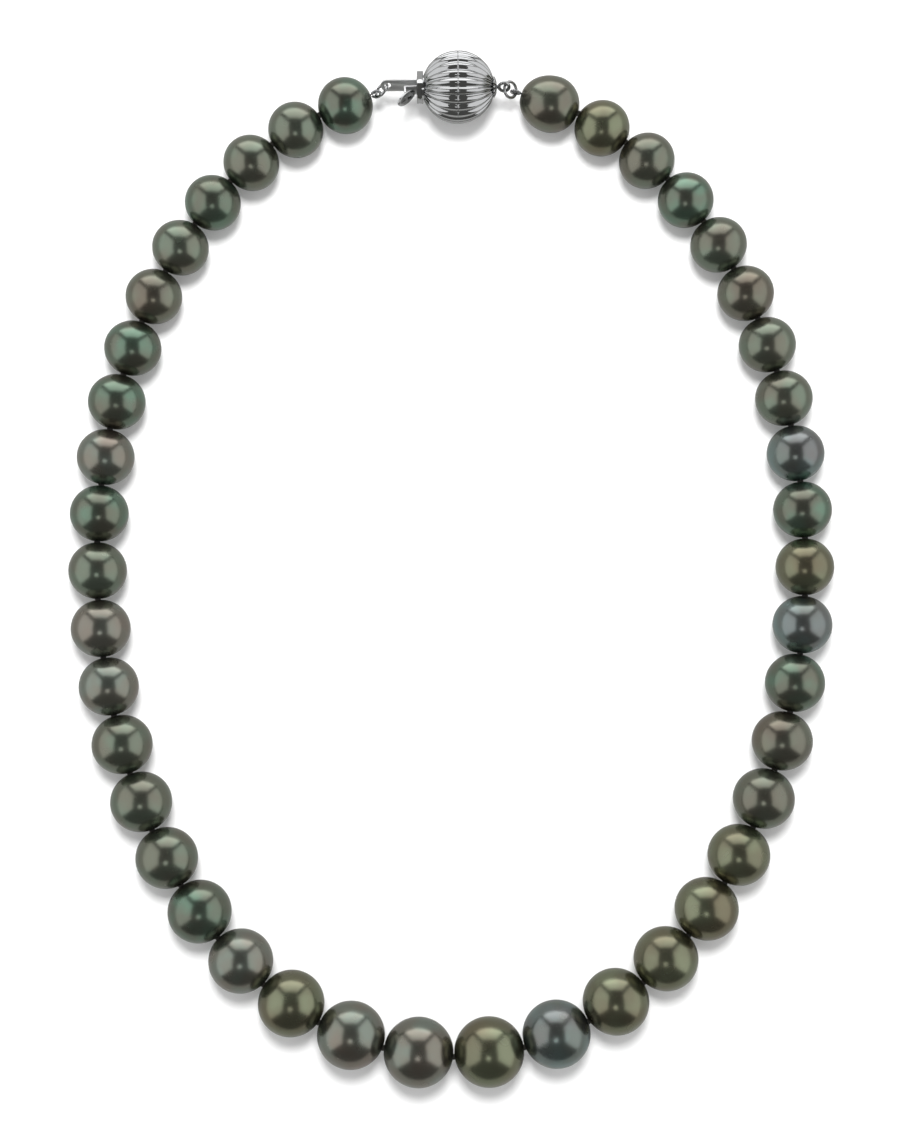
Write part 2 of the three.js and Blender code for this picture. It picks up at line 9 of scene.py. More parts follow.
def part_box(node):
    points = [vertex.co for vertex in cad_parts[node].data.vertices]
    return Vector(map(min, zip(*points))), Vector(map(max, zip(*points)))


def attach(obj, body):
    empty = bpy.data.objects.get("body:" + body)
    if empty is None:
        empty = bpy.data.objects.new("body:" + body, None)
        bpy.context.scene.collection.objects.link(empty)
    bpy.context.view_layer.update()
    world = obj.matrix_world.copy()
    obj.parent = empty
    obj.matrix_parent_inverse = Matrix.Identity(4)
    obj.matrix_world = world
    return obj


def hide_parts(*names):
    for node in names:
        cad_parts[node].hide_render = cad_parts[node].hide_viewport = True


# Graduated pearl necklace with a fluted ball clasp, seen from straight above on a white table.
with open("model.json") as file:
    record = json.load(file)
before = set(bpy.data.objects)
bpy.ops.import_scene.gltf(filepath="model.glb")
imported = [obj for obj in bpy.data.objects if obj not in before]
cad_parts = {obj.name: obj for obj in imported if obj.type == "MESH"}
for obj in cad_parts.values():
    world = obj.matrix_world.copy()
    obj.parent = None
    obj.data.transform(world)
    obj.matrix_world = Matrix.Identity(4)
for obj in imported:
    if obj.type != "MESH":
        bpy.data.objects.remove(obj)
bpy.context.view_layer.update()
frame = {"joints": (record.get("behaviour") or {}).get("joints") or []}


# ---------------------------------------------------------------------------------------------
# Table and studio. A matt white table top, three tall diffuser frames that lean in round it on
# the clasp side, the left and the right, and a lamp head beside the camera. The near side and
# the middle of the ceiling stay dark, which gives polished goods their dark lines.
# ---------------------------------------------------------------------------------------------
def from_hex(colour):
    """Linear RGBA of an sRGB hex colour."""
    channels = [int(colour[i : i + 2], 16) / 255 for i in (1, 3, 5)]
    linear = [c / 12.92 if c <= 0.04045 else ((c + 0.055) / 1.055) ** 2.4 for c in channels]
    return (*linear, 1.0)


def add_node(tree, kind, inputs=None, **settings):
    """A node of one kind: settings are its own, inputs are values or the sockets they come from."""
    made = tree.nodes.new(kind)
    for name, value in settings.items():
        setattr(made, name, value)
    for socket, value in (inputs or {}).items():
        if isinstance(value, bpy.types.NodeSocket):
            tree.links.new(value, made.inputs[socket])
        else:
            made.inputs[socket].default_value = value
    return made


def new_material(name):
    material = bpy.data.materials.new(name)
    material.use_nodes = True
    material.node_tree.nodes.clear()
    return material


def as_object(name, bm, material, smooth=True):
    """Turns a bmesh into an object that stands at the origin."""
    mesh = bpy.data.meshes.new(name)
    bm.to_mesh(mesh)
    bm.free()
    made = bpy.data.objects.new(name, mesh)
    bpy.context.scene.collection.objects.link(made)
    mesh.materials.append(material)
    for face in mesh.polygons:
        face.use_smooth = smooth
    return made


# White melamine board: a matt, very slightly uneven surface. It stands in for a table lit from
# below as well, so it is white to the eye and throws little light back up at the goods.
table_board = new_material("white_melamine_board")
tree = table_board.node_tree
place = add_node(tree, "ShaderNodeTexCoord").outputs["Object"]
mottle = add_node(tree, "ShaderNodeTexNoise", {"Vector": place, "Scale": 60.0, "Detail": 3.0})
tone = add_node(tree, "ShaderNodeMix", {0: mottle.outputs["Fac"], 6: from_hex("#f4f4f4"),
                                        7: from_hex("#f7f7f7")}, data_type="RGBA")
board = add_node(tree, "ShaderNodeBsdfDiffuse", {"Color": tone.outputs[2]})
dull = add_node(tree, "ShaderNodeBsdfDiffuse", {"Color": from_hex("#a2a2a0")})
eye = add_node(tree, "ShaderNodeLightPath").outputs["Is Camera Ray"]
shown = add_node(tree, "ShaderNodeMixShader", {0: eye, 1: dull.outputs[0], 2: board.outputs[0]})
add_node(tree, "ShaderNodeOutputMaterial", {"Surface": shown.outputs[0]})

bm = bmesh.new()
bmesh.ops.create_grid(bm, x_segments=4, y_segments=4, size=4.0)
table = as_object("table_top", bm, table_board, smooth=False)


glow_height = 0.7  # where a diffuser's glow has reached its head's


def studio_sheet(name, corners, foot_glow, head_glow, turn=0.0):
    """A lit sheet that the goods mirror, though it throws no light on them or on the table."""
    cloth = new_material(name + "_cloth")
    tree = cloth.node_tree
    height = add_node(tree, "ShaderNodeSeparateXYZ",
                      {0: add_node(tree, "ShaderNodeTexCoord").outputs["Object"]})
    glow = add_node(tree, "ShaderNodeMapRange",
                    {"Value": height.outputs["Z"], "From Max": glow_height,
                     "To Min": foot_glow, "To Max": head_glow})
    light = add_node(tree, "ShaderNodeEmission", {"Strength": glow.outputs[0]})
    add_node(tree, "ShaderNodeOutputMaterial", {"Surface": light.outputs[0]})
    bm = bmesh.new()
    bm.faces.new([bm.verts.new(corner) for corner in corners])
    bmesh.ops.rotate(bm, verts=bm.verts, matrix=Matrix.Rotation(math.radians(turn), 3, "Z"))
    made = as_object(name, bm, cloth, smooth=False)
    made.visible_camera = False
    made.visible_diffuse = False
    made.visible_shadow = False


foot_line = (1.2, -0.02)  # how far out and how high each diffuser's foot stands


def diffuser(name, foot_half, head_half, head_line, foot_glow, head_glow, turn):
    """A diffuser cloth that leans from its foot up over the work, wider at its foot."""
    studio_sheet(name, [(-foot_half, *foot_line), (foot_half, *foot_line),
                        (head_half, *head_line), (-head_half, *head_line)],
                 foot_glow, head_glow, turn)


diffuser("diffuser_clasp_side", 0.92, 0.36, (0.68, 0.70), 2.9, 1.15, 0)
diffuser("diffuser_left", 1.04, 0.40, (0.44, 0.84), 1.15, 1.2, 87)
diffuser("diffuser_right", 1.04, 0.40, (0.44, 0.84), 1.15, 1.2, -87)
# A round lamp head beside the camera.
lamp_at = Vector((-0.04, -0.27, 0.88))
lamp_radius = 0.11
lamp_sides = 32
lamp_rim = [lamp_at + Vector((math.cos(a), math.sin(a), 0)) * lamp_radius
            for a in (math.tau * k / lamp_sides for k in range(lamp_sides))]
studio_sheet("lamp_head", lamp_rim, 2.0, 2.0)


def soft_light(name, place, size, energy):
    """A soft lamp aimed at the middle of the table, which the goods don't mirror."""
    data = bpy.data.lights.new(name, "AREA")
    data.shape = "DISK"
    data.size = size
    data.energy = energy
    lamp = bpy.data.objects.new(name, data)
    lamp.location = place
    lamp.rotation_mode = "QUATERNION"
    lamp.rotation_quaternion = Vector(place).to_track_quat("Z", "Y")
    lamp.visible_camera = False
    lamp.visible_glossy = False
    bpy.context.scene.collection.objects.link(lamp)


soft_light("ceiling_light", (0.0, 0.37, 0.9), 0.32, 9.5)

# The room is dim to the goods and white to the eye, like the far wall of a studio.
room = bpy.data.worlds.new("studio_room")
bpy.context.scene.world = room
room.use_nodes = True
tree = room.node_tree
tree.nodes.clear()
path = add_node(tree, "ShaderNodeLightPath")
dim = add_node(tree, "ShaderNodeBackground", {"Color": from_hex("#5c5c5a"), "Strength": 1.0})
fill = add_node(tree, "ShaderNodeBackground", {"Color": from_hex("#ffffff"), "Strength": 0.72})
pale = add_node(tree, "ShaderNodeBackground", {"Color": from_hex("#f4f4f4"), "Strength": 1.0})
lit = add_node(tree, "ShaderNodeMixShader", {0: path.outputs["Is Diffuse Ray"],
                                             1: dim.outputs[0], 2: fill.outputs[0]})
seen = add_node(tree, "ShaderNodeMixShader", {0: path.outputs["Is Camera Ray"],
                                              1: lit.outputs[0], 2: pale.outputs[0]})
add_node(tree, "ShaderNodeOutputWorld", {"Surface": seen.outputs[0]})

# The camera hangs over the middle of the oval, with a long lens.
camera_data = bpy.data.cameras.new("overhead_camera")
camera_data.lens = 100.0
camera_data.sensor_width = 36.0
camera = bpy.data.objects.new("overhead_camera", camera_data)
camera.location = (-0.0002, 0.0013, 0.5195)
camera.rotation_euler = (0.0, 0.0, math.radians(-0.31))
bpy.context.scene.collection.objects.link(camera)
bpy.context.scene.camera = camera
bpy.context.scene.view_settings.view_transform = "Standard"

# ---------------------------------------------------------------------------------------------
# Pearls. Forty-two dark cultured pearls, each drilled through its middle with the drill hole's
# mouths eased. Nacre is laid down in thin layers, so the gloss lies deep and the body colour
# drifts softly between green, grey, blue, olive and rose over each pearl.
# ---------------------------------------------------------------------------------------------
pearl_count = 42
drill_radius = 0.45e-3
mouth_radius = 0.70e-3
mouth_depth = 0.35e-3
lip_radius = mouth_radius * 0.86
lip_depth = 0.08e-3
drop_stretch = 1.2  # the last pearl is longer on the clasp's side
end_broad = 1.042  # width over length of the clasp-end pearls, give or take broad_spread
front_broad = 1.014
broad_spread = 0.006

joint_at = {j["name"]: Vector(j["pos_m"]) for j in frame["joints"]}
knots = {n: joint_at["strand_open" if n == 21 else f"knot_{n:02d}"] for n in range(1, pearl_count)}
loop_left = joint_at["bullion_left_swivel"]
loop_right = joint_at["bullion_right_swivel"]


def pearl_place(number):
    """Middle, radius and drill direction of a pearl. The drop's middle mirrors the other end's."""
    low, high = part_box("pearl_01" if number == pearl_count else f"pearl_{number:02d}")
    middle = (low + high) / 2
    start = loop_left if number == 1 else knots[number - 1]
    end = loop_right if number == pearl_count else knots[number]
    along = end - start
    if number == 1:
        along = middle - loop_left
    elif number == pearl_count:
        middle.x = -middle.x
        along = loop_right - middle
    return middle, (high.z - low.z) / 2, Vector((along.x, along.y, 0)).normalized()


def turned(outline, steps):
    """A closed outline of (x, radius) points, turned once round the X axis."""
    bm = bmesh.new()
    ring = [bm.verts.new((x, 0, z)) for x, z in outline]
    edges = [bm.edges.new((ring[k], ring[(k + 1) % len(ring)])) for k in range(len(ring))]
    bmesh.ops.spin(bm, geom=ring + edges, cent=(0, 0, 0), axis=(1, 0, 0), angle=2 * math.pi,
                   steps=steps, use_merge=True)
    bmesh.ops.recalc_face_normals(bm, faces=bm.faces)
    return bm


def pearl_body(radius, stretch):
    """Skin, eased mouths and drill hole as one closed outline, turned round the drill hole."""
    reach = math.sqrt(radius**2 - mouth_radius**2)
    first = math.asin(mouth_radius / radius)
    outline = [(-reach + mouth_depth, drill_radius), (-reach + lip_depth, lip_radius)]
    steps = 44
    for k in range(steps + 1):
        angle = math.pi - first - k * (math.pi - 2 * first) / steps
        x = radius * math.cos(angle)
        outline.append((x * stretch if x > 0 else x, radius * math.sin(angle)))
    outline.append((reach * stretch - lip_depth, lip_radius))
    outline.append((reach * stretch - mouth_depth, drill_radius))
    return turned(outline, 64)


def nacre(name, body, overtone, blush):
    """Cultured pearl nacre: a soft metal-like gloss whose tint drifts between three colours."""
    material = new_material(name)
    tree = material.node_tree
    place = add_node(tree, "ShaderNodeTexCoord").outputs["Object"]
    # Patches of overtone about 4 mm across, and blushes about 7 mm across.
    drift = add_node(tree, "ShaderNodeTexNoise", {"Vector": place, "Scale": 250.0, "Detail": 1.0})
    patch = add_node(tree, "ShaderNodeMapRange",
                     {"Value": drift.outputs["Fac"], "From Min": 0.38, "From Max": 0.62})
    moved = add_node(tree, "ShaderNodeMapping", {"Vector": place, "Location": (0.31, 0.17, 0.05)})
    wide = add_node(tree, "ShaderNodeTexNoise",
                    {"Vector": moved.outputs[0], "Scale": 140.0, "Detail": 1.0})
    warm = add_node(tree, "ShaderNodeMapRange",
                    {"Value": wide.outputs["Fac"], "From Min": 0.45, "From Max": 0.7,
                     "To Max": 0.6})
    tinted = add_node(tree, "ShaderNodeMix", {0: patch.outputs[0], 6: from_hex(body),
                                              7: from_hex(overtone)}, data_type="RGBA")
    blushed = add_node(tree, "ShaderNodeMix", {0: warm.outputs[0], 6: tinted.outputs[2],
                                               7: from_hex(blush)}, data_type="RGBA")
    # The skin's grain: growth lines and dimples about 0.5 mm apart, a micron or so deep.
    grain = add_node(tree, "ShaderNodeTexNoise", {"Vector": place, "Scale": 1800.0, "Detail": 3.0})
    swell = add_node(tree, "ShaderNodeTexNoise", {"Vector": place, "Scale": 420.0, "Detail": 1.0})
    relief = add_node(tree, "ShaderNodeMath", {0: grain.outputs["Fac"], 1: 0.12,
                                               2: swell.outputs["Fac"]}, operation="MULTIPLY_ADD")
    bump = add_node(tree, "ShaderNodeBump", {"Height": relief.outputs[0], "Strength": 0.3,
                                             "Distance": 0.00003})
    gloss = add_node(tree, "ShaderNodeMapRange",
                     {"Value": swell.outputs["Fac"], "To Min": 0.21, "To Max": 0.3})
    skin = add_node(tree, "ShaderNodeBsdfPrincipled",
                    {"Base Color": blushed.outputs[2], "Metallic": 0.96,
                     "Roughness": gloss.outputs[0], "Normal": bump.outputs[0],
                     "Coat Weight": 0.12, "Coat Roughness": 0.18, "Coat IOR": 1.53})
    add_node(tree, "ShaderNodeOutputMaterial", {"Surface": skin.outputs[0]})
    return material


# Body colour, overtone and blush of each family of pearls.
families = {
    "green": ("#6e7367", "#6c8373", "#716d61"),
    "slate": ("#76796c", "#758072", "#756e64"),
    "rose": ("#807f75", "#7f877e", "#88786f"),
    "olive": ("#767662", "#7e836c", "#786e5a"),
    "brown": ("#747368", "#797e70", "#7a6c60"),
    "blue": ("#777f7a", "#7c8e8c", "#787072"),
}
nacres = {name: nacre(f"{name}_pearl_nacre", *colours) for name, colours in families.items()}
# Family of each pearl, from the tongue's end round the front to the ball's end.
matched = {
    "green": (1, 4, 7, 8, 10, 17, 30, 33, 39),
    "rose": (9, 12, 13, 18, 20, 21),
    "blue": (23, 31, 34),
    "olive": (19, 22, 24, 25, 26, 27, 32, 41),
    "brown": (6, 29, 37, 42),
}
family_of = {number: name for name, numbers in matched.items() for number in numbers}

end_radius = pearl_place(1)[1]
front_radius = pearl_place(pearl_count // 2)[1]
for number in range(1, pearl_count + 1):
    middle, radius, along = pearl_place(number)
    bm = pearl_body(radius, drop_stretch if number == pearl_count else 1.0)
    # No pearl is a true ball: each is a little wider than it is long, the small ones up to 4.8%.
    grown = (radius - end_radius) / (front_radius - end_radius)
    broad = end_broad - (end_broad - front_broad) * grown
    broad += broad_spread * math.sin(number * 2.7)
    bmesh.ops.scale(bm, verts=bm.verts, vec=(1.0, broad, 1.0))
    bmesh.ops.rotate(bm, verts=bm.verts,
                     matrix=Matrix.Rotation(math.atan2(along.y, along.x), 3, "Z"))
    bmesh.ops.translate(bm, verts=bm.verts, vec=middle)
    family = family_of.get(number, "slate")
    pearl = as_object(f"nacre_pearl_{number:02d}", bm, nacres[family])
    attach(pearl, f"bead_{number:02d}")
    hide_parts(f"pearl_{number:02d}")

# ---------------------------------------------------------------------------------------------
# Silk. Two plies of black silk run through every drill hole, and after each pearl they are tied
# in one overhand knot that sits in the eased mouths and keeps the pearls from rubbing.
# ---------------------------------------------------------------------------------------------
ply_radius = 0.12e-3
ply_offset = 0.13e-3
ply_turn = 3.0e-3  # length of silk in one turn of the two plies
knot_silk_radius = 0.19e-3
knot_spread = 0.125e-3  # the knot's trefoil reaches three times this from the silk's line
knot_run = 0.2e-3  # and this far each way along it
end_gap = 0.05e-3  # silk past the outer mouths of the two end pearls


def black_silk():
    """Twisted silk: a dark thread with a low sheen, its fibres drawn as coarse as they show."""
    material = new_material("black_twisted_silk")
    tree = material.node_tree
    place = add_node(tree, "ShaderNodeTexCoord").outputs["Object"]
    # Fibres are drawn about 0.08 mm apart, several times coarser than silk's own.
    fibre = add_node(tree, "ShaderNodeTexNoise", {"Vector": place, "Scale": 12000.0, "Detail": 2.0})
    colour = add_node(tree, "ShaderNodeMix", {0: fibre.outputs["Fac"], 6: from_hex("#151512"),
                                              7: from_hex("#33322c")}, data_type="RGBA")
    bump = add_node(tree, "ShaderNodeBump", {"Height": fibre.outputs["Fac"], "Strength": 0.5,
                                             "Distance": 0.00003})
    thread = add_node(tree, "ShaderNodeBsdfPrincipled",
                      {"Base Color": colour.outputs[2], "Roughness": 0.7,
                       "Normal": bump.outputs[0], "Sheen Weight": 0.3, "Sheen Roughness": 0.4})
    add_node(tree, "ShaderNodeOutputMaterial", {"Surface": thread.outputs[0]})
    return material


silk_material = black_silk()


def as_wire(name, paths, material):
    """Round wires or plies of one radius each, laid along their points and made one mesh."""
    curve = bpy.data.curves.new(name, "CURVE")
    curve.dimensions = "3D"
    curve.bevel_depth = 1.0
    curve.bevel_resolution = 2
    curve.use_fill_caps = True
    for points, radius in paths:
        spline = curve.splines.new("POLY")
        spline.points.add(len(points) - 1)
        for held, point in zip(spline.points, points):
            held.co = (*point, 1)
            held.radius = radius
    laid = bpy.data.objects.new(name + "_path", curve)
    bpy.context.scene.collection.objects.link(laid)
    mesh = bpy.data.meshes.new_from_object(laid)
    bpy.data.objects.remove(laid)
    bpy.data.curves.remove(curve)
    mesh.name = name
    made = bpy.data.objects.new(name, mesh)
    bpy.context.scene.collection.objects.link(made)
    mesh.materials.clear()
    mesh.materials.append(material)
    for face in mesh.polygons:
        face.use_smooth = True
    return made


def plies(start, end):
    """Two plies that turn round each other on the way from start to end."""
    along = end - start
    ahead = along.normalized()
    side = ahead.cross(Vector((0, 0, 1))).normalized()
    up = side.cross(ahead)
    count = max(4, math.ceil(along.length / ply_turn * 8))
    both = []
    for phase in (0, math.pi):
        points = []
        for k in range(count + 1):
            angle = phase + 2 * math.pi * along.length / ply_turn * k / count
            points.append(start + along * k / count
                          + (side * math.cos(angle) + up * math.sin(angle)) * ply_offset)
        both.append((points, ply_radius))
    return both


def overhand_knot(middle, ahead):
    """The silk's overhand knot, pulled tight: a trefoil whose middle line lies on the silk."""
    side = ahead.cross(Vector((0, 0, 1))).normalized()
    up = side.cross(ahead)
    points = []
    for k in range(40):
        t = 2 * math.pi * k / 40
        across = math.sin(t) + 2 * math.sin(2 * t)
        upward = math.cos(t) - 2 * math.cos(2 * t)
        run = -math.sin(3 * t)
        points.append(middle + side * across * knot_spread + up * upward * knot_spread
                      + ahead * run * knot_run)
    points.append(points[0])
    return points, knot_silk_radius


for number in range(1, pearl_count + 1):
    middle, radius, along = pearl_place(number)
    reach = math.sqrt(radius**2 - mouth_radius**2)
    before = middle - along * (reach + end_gap)
    after = middle + along * (reach * drop_stretch + end_gap)
    paths = plies(knots.get(number - 1, before), knots.get(number, after))
    if number < pearl_count:
        paths.append(overhand_knot(knots[number], along))
    silk = as_wire(f"silk_{number:02d}", paths, silk_material)
    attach(silk, f"bead_{number:02d}")
    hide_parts("silk_thread")

# ---------------------------------------------------------------------------------------------
# Bullion loops. At each end the silk goes back through the last pearl, and the loop it leaves is
# sleeved in bullion, a fine silver wire wound into a tiny close coil, which takes the ring's rub.
# ---------------------------------------------------------------------------------------------
bullion_radius = 0.28e-3
bullion_wire = 0.09e-3
bullion_pitch = 0.2e-3
loop_radius = 0.62e-3
leg_reach = 0.8e-3  # from the loop's middle back into the drill hole's eased mouth
leg_turn = math.radians(70)  # where the two legs leave the loop
end_silk_radius = 0.085e-3
loop_steps = 24
coil_steps = 12  # straight lengths of wire in each turn of the coil


def bright_metal(name, colour, roughness, scuff, scuff_size_mm, waviness):
    """Polished precious metal, with faint wheel marks and handling scuffs in its gloss."""
    material = new_material(name)
    tree = material.node_tree
    place = add_node(tree, "ShaderNodeTexCoord").outputs["Object"]
    marks = add_node(tree, "ShaderNodeTexNoise",
                     {"Vector": place, "Scale": 1000.0 / scuff_size_mm, "Detail": 4.0})
    gloss = add_node(tree, "ShaderNodeMapRange",
                     {"Value": marks.outputs["Fac"], "From Min": 0.35, "From Max": 0.75,
                      "To Min": roughness, "To Max": roughness + scuff})
    dimmed = (*(c * 0.93 for c in from_hex(colour)[:3]), 1.0)
    tone = add_node(tree, "ShaderNodeMix", {0: marks.outputs["Fac"], 6: from_hex(colour),
                                            7: dimmed}, data_type="RGBA")
    bump = add_node(tree, "ShaderNodeBump", {"Height": marks.outputs["Fac"],
                                             "Strength": waviness, "Distance": 0.00001})
    metal = add_node(tree, "ShaderNodeBsdfPrincipled",
                     {"Base Color": tone.outputs[2], "Metallic": 1.0,
                      "Roughness": gloss.outputs[0], "Normal": bump.outputs[0]})
    add_node(tree, "ShaderNodeOutputMaterial", {"Surface": metal.outputs[0]})
    return material


# Drawn silver wire: softer gloss than the polished clasp.
bullion_metal = bright_metal("drawn_silver_wire", "#c9cacc", 0.2, 0.15, 0.3, 0.2)


def box_middle(node):
    low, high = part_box(node)
    return (low + high) / 2


clasp_middle = box_middle("ball_half_inlet")
clasp_middle.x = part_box("ball_half_inlet")[1].x
clasp_roll = math.radians(45)
roll = Matrix.Rotation(clasp_roll, 3, "X")
tongue_hole = joint_at["tongue_swivel"]
eye_hole = joint_at["ball_swivel"]


def ring_frame(hole, loop, hole_axis):
    """A jump ring's pull, normal and the wire's direction where the bullion's loop holds it."""
    pull = (loop - hole).normalized()
    normal = pull.cross(hole_axis).normalized()
    return pull, normal, normal.cross(pull)


def on_line(line, run, length):
    """The point at a length along a line, where run is the length up to each of its points."""
    k = max(i for i in range(len(run) - 1) if run[i] <= max(0.0, length))
    return line[k].lerp(line[k + 1], (length - run[k]) / (run[k + 1] - run[k]))


# Each end's bullion loop, the clasp's hole and that hole's axis, and the end pearl and its body.
ring_ends = {
    "left": (loop_left, tongue_hole, roll @ Vector((0, 0, 1)), 1, "bead_01"),
    "right": (loop_right, eye_hole, Vector((0, 1, 0)), pearl_count, "bead_42"),
}
for side_name, (loop, hole, hole_axis, number, body) in ring_ends.items():
    middle, radius, along = pearl_place(number)
    outward = -along if number == 1 else along
    pull, normal, wire = ring_frame(hole, loop, hole_axis)
    across = wire.cross(outward).normalized()
    away = across.cross(wire)
    # The sleeve's middle line: a leg out of the drill hole, round the loop, and a leg back.
    line = [loop - away * leg_reach + across * bullion_radius]
    for k in range(loop_steps + 1):
        angle = leg_turn + 2 * (math.pi - leg_turn) * k / loop_steps
        line.append(loop + (across * math.sin(angle) - away * math.cos(angle)) * loop_radius)
    line.append(loop - away * leg_reach - across * bullion_radius)
    run = [0.0]
    for here, there in zip(line, line[1:]):
        run.append(run[-1] + (there - here).length)

    # The coil: its wire goes once round the middle line for each pitch of length.
    count = round(run[-1] / bullion_pitch) * coil_steps
    coil = []
    for k in range(count + 1):
        length = run[-1] * k / count
        ahead = (on_line(line, run, length + bullion_wire)
                 - on_line(line, run, length - bullion_wire)).normalized()
        angle = 2 * math.pi * k / coil_steps
        out = ahead.cross(wire) * math.cos(angle) + wire * math.sin(angle)
        coil.append(on_line(line, run, length) + out * (bullion_radius - bullion_wire))
    sleeve = as_wire(f"bullion_coil_{side_name}", [(coil, bullion_wire)], bullion_metal)
    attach(sleeve, body)
    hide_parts(f"bullion_{side_name}")

    # The silk inside the sleeve, from the drill hole round the loop and back.
    reach = math.sqrt(radius**2 - mouth_radius**2) * (drop_stretch if number == pearl_count else 1)
    mouth = middle + outward * (reach - mouth_depth)
    core = [mouth, *line, mouth]
    core_silk = as_wire(f"end_silk_{side_name}", [(core, end_silk_radius)], silk_material)
    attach(core_silk, body)
    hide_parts("silk_thread")

# ---------------------------------------------------------------------------------------------
# Jump rings. Two rings of round white-gold wire, closed and soldered, that join each end of the
# strand to the clasp. The solder shows as a faint swelling at the joint.
# ---------------------------------------------------------------------------------------------
ring_radius = 1.31e-3
ring_wire_radius = 0.25e-3
solder_swell = 0.07  # share that the wire is thicker at its joint
solder_reach = 0.09  # radians of the ring to each side

# Rhodium-plated white gold, polished to a mirror.
white_gold = bright_metal("polished_white_gold", "#b9babb", 0.05, 0.08, 0.8, 0.12)

for side_name, node, body in (("left", "tongue_ring", "tongue_ring_link"),
                              ("right", "ball_ring", "ball_ring_link")):
    loop, hole, hole_axis = ring_ends[side_name][:3]
    pull, normal, _ = ring_frame(hole, loop, hole_axis)
    bm = bmesh.new()
    bmesh.ops.create_circle(bm, cap_ends=False, segments=14, radius=ring_wire_radius)
    bmesh.ops.rotate(bm, verts=bm.verts, matrix=Matrix.Rotation(math.pi / 2, 3, "X"))
    bmesh.ops.translate(bm, verts=bm.verts, vec=(ring_radius, 0, 0))
    bmesh.ops.spin(bm, geom=bm.verts[:] + bm.edges[:], cent=(0, 0, 0), axis=(0, 0, 1),
                   angle=2 * math.pi, steps=72, use_merge=True)
    bmesh.ops.recalc_face_normals(bm, faces=bm.faces)
    # The soldered joint, halfway between the two holes.
    for vert in bm.verts:
        turn = math.atan2(vert.co.y, vert.co.x)
        centre = Vector((math.cos(turn), math.sin(turn), 0)) * ring_radius
        swell = 1 + solder_swell * math.exp(-((turn / solder_reach) ** 2))
        vert.co = centre + (vert.co - centre) * swell
    stand = Matrix((normal.cross(pull), pull, normal)).transposed()
    bmesh.ops.rotate(bm, verts=bm.verts, matrix=stand)
    bmesh.ops.translate(bm, verts=bm.verts, vec=(loop + hole) / 2)
    ring = as_object(f"jump_ring_{side_name}", bm, white_gold)
    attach(ring, body)
    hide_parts(node)

# ---------------------------------------------------------------------------------------------
# Fluted ball. Two half shells stamped from white-gold sheet with 24 flutes that run from pole to
# pole, soldered together at the middle, then polished. The left half has a round inlet.
# ---------------------------------------------------------------------------------------------
ball_radius = 6.0e-3
flute_count = 24
flute_depth = 0.4e-3
ball_wall = 0.45e-3
seam_gap = 0.05e-3  # the bevel at the soldered joint
inlet_radius = 2.1e-3
post_hole_radius = 0.4e-3
skin_rows = 30
lining_rows = 12
lines_per_flute = 8


def place_in_clasp(bm):
    """From the clasp's own frame, X along its axis, to its rolled place in the necklace."""
    bmesh.ops.rotate(bm, verts=bm.verts, matrix=roll)
    bmesh.ops.translate(bm, verts=bm.verts, vec=clasp_middle)


def half_shell(side, opening):
    """One half: skin and lining as a closed outline turned about X, then the flutes pressed in."""
    inner = ball_radius - flute_depth - ball_wall
    start = math.asin(opening / ball_radius)
    outline = []
    for k in range(skin_rows + 1):
        angle = start + (math.pi / 2 - start) * k / skin_rows
        outline.append((ball_radius * math.cos(angle), ball_radius * math.sin(angle)))
    outline[-1] = (seam_gap, ball_radius * 0.9999)
    outline.append((0.0, ball_radius - seam_gap))
    for k in range(lining_rows + 1):
        angle = math.pi / 2 - (math.pi / 2 - math.asin(opening / inner)) * k / lining_rows
        outline.append((inner * math.cos(angle), inner * math.sin(angle)))
    bm = turned([(side * x, z) for x, z in outline], flute_count * lines_per_flute)
    for vert in bm.verts:
        from_axis = math.hypot(vert.co.y, vert.co.z)
        if vert.co.length < (ball_radius + inner) / 2:
            continue
        # Rounded lobes that meet in sharp valleys, fading out at the pole.
        line = math.atan2(vert.co.y, vert.co.z)
        valley = 1 - abs(math.cos(line * flute_count / 2))
        fade = min(1.0, max(0.0, (from_axis - opening) / (ball_radius / 3)))
        vert.co *= 1 - fade * flute_depth * valley / ball_radius
    place_in_clasp(bm)
    return bm


for side, node, opening in ((-1, "ball_half_inlet", inlet_radius),
                            (1, "ball_half_end", post_hole_radius)):
    shell = as_object(f"fluted_{node}", half_shell(side, opening), white_gold)
    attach(shell, "ball")
    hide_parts(node)

# ---------------------------------------------------------------------------------------------
# Slot plate. A thick rectangle of white gold with a rectangular slot, soldered to the ball by
# its short round neck. The tongue goes in through it, and the leaf catches behind it.
# ---------------------------------------------------------------------------------------------
slot_half = (1.45e-3, 1.175e-3)  # across the tongue, and through its thickness
plate_half = (2.1e-3, 1.7e-3)
neck_radius = 2.0e-3
plate_outer = -6.77e-3
plate_inner = -5.72e-3
plate_edge = 0.1e-3
neck_start = plate_inner - 0.2e-3  # let into the plate's back
neck_end = -5.12e-3
neck_wall = 0.12e-3


def upright_rectangle(bm, x, half):
    """The edges of a rectangle that stands across X."""
    corners = [bm.verts.new((x, y, z)) for y, z in ((-half[0], -half[1]), (half[0], -half[1]),
                                                     (half[0], half[1]), (-half[0], half[1]))]
    return [bm.edges.new((corners[k], corners[(k + 1) % 4])) for k in range(4)]


def extrude(bm, faces, way):
    """Draws faces out by a vector, with walls behind them."""
    grown = bmesh.ops.extrude_face_region(bm, geom=faces)["geom"]
    bmesh.ops.translate(bm, verts=[g for g in grown if isinstance(g, bmesh.types.BMVert)],
                        vec=way)
    bmesh.ops.recalc_face_normals(bm, faces=bm.faces)


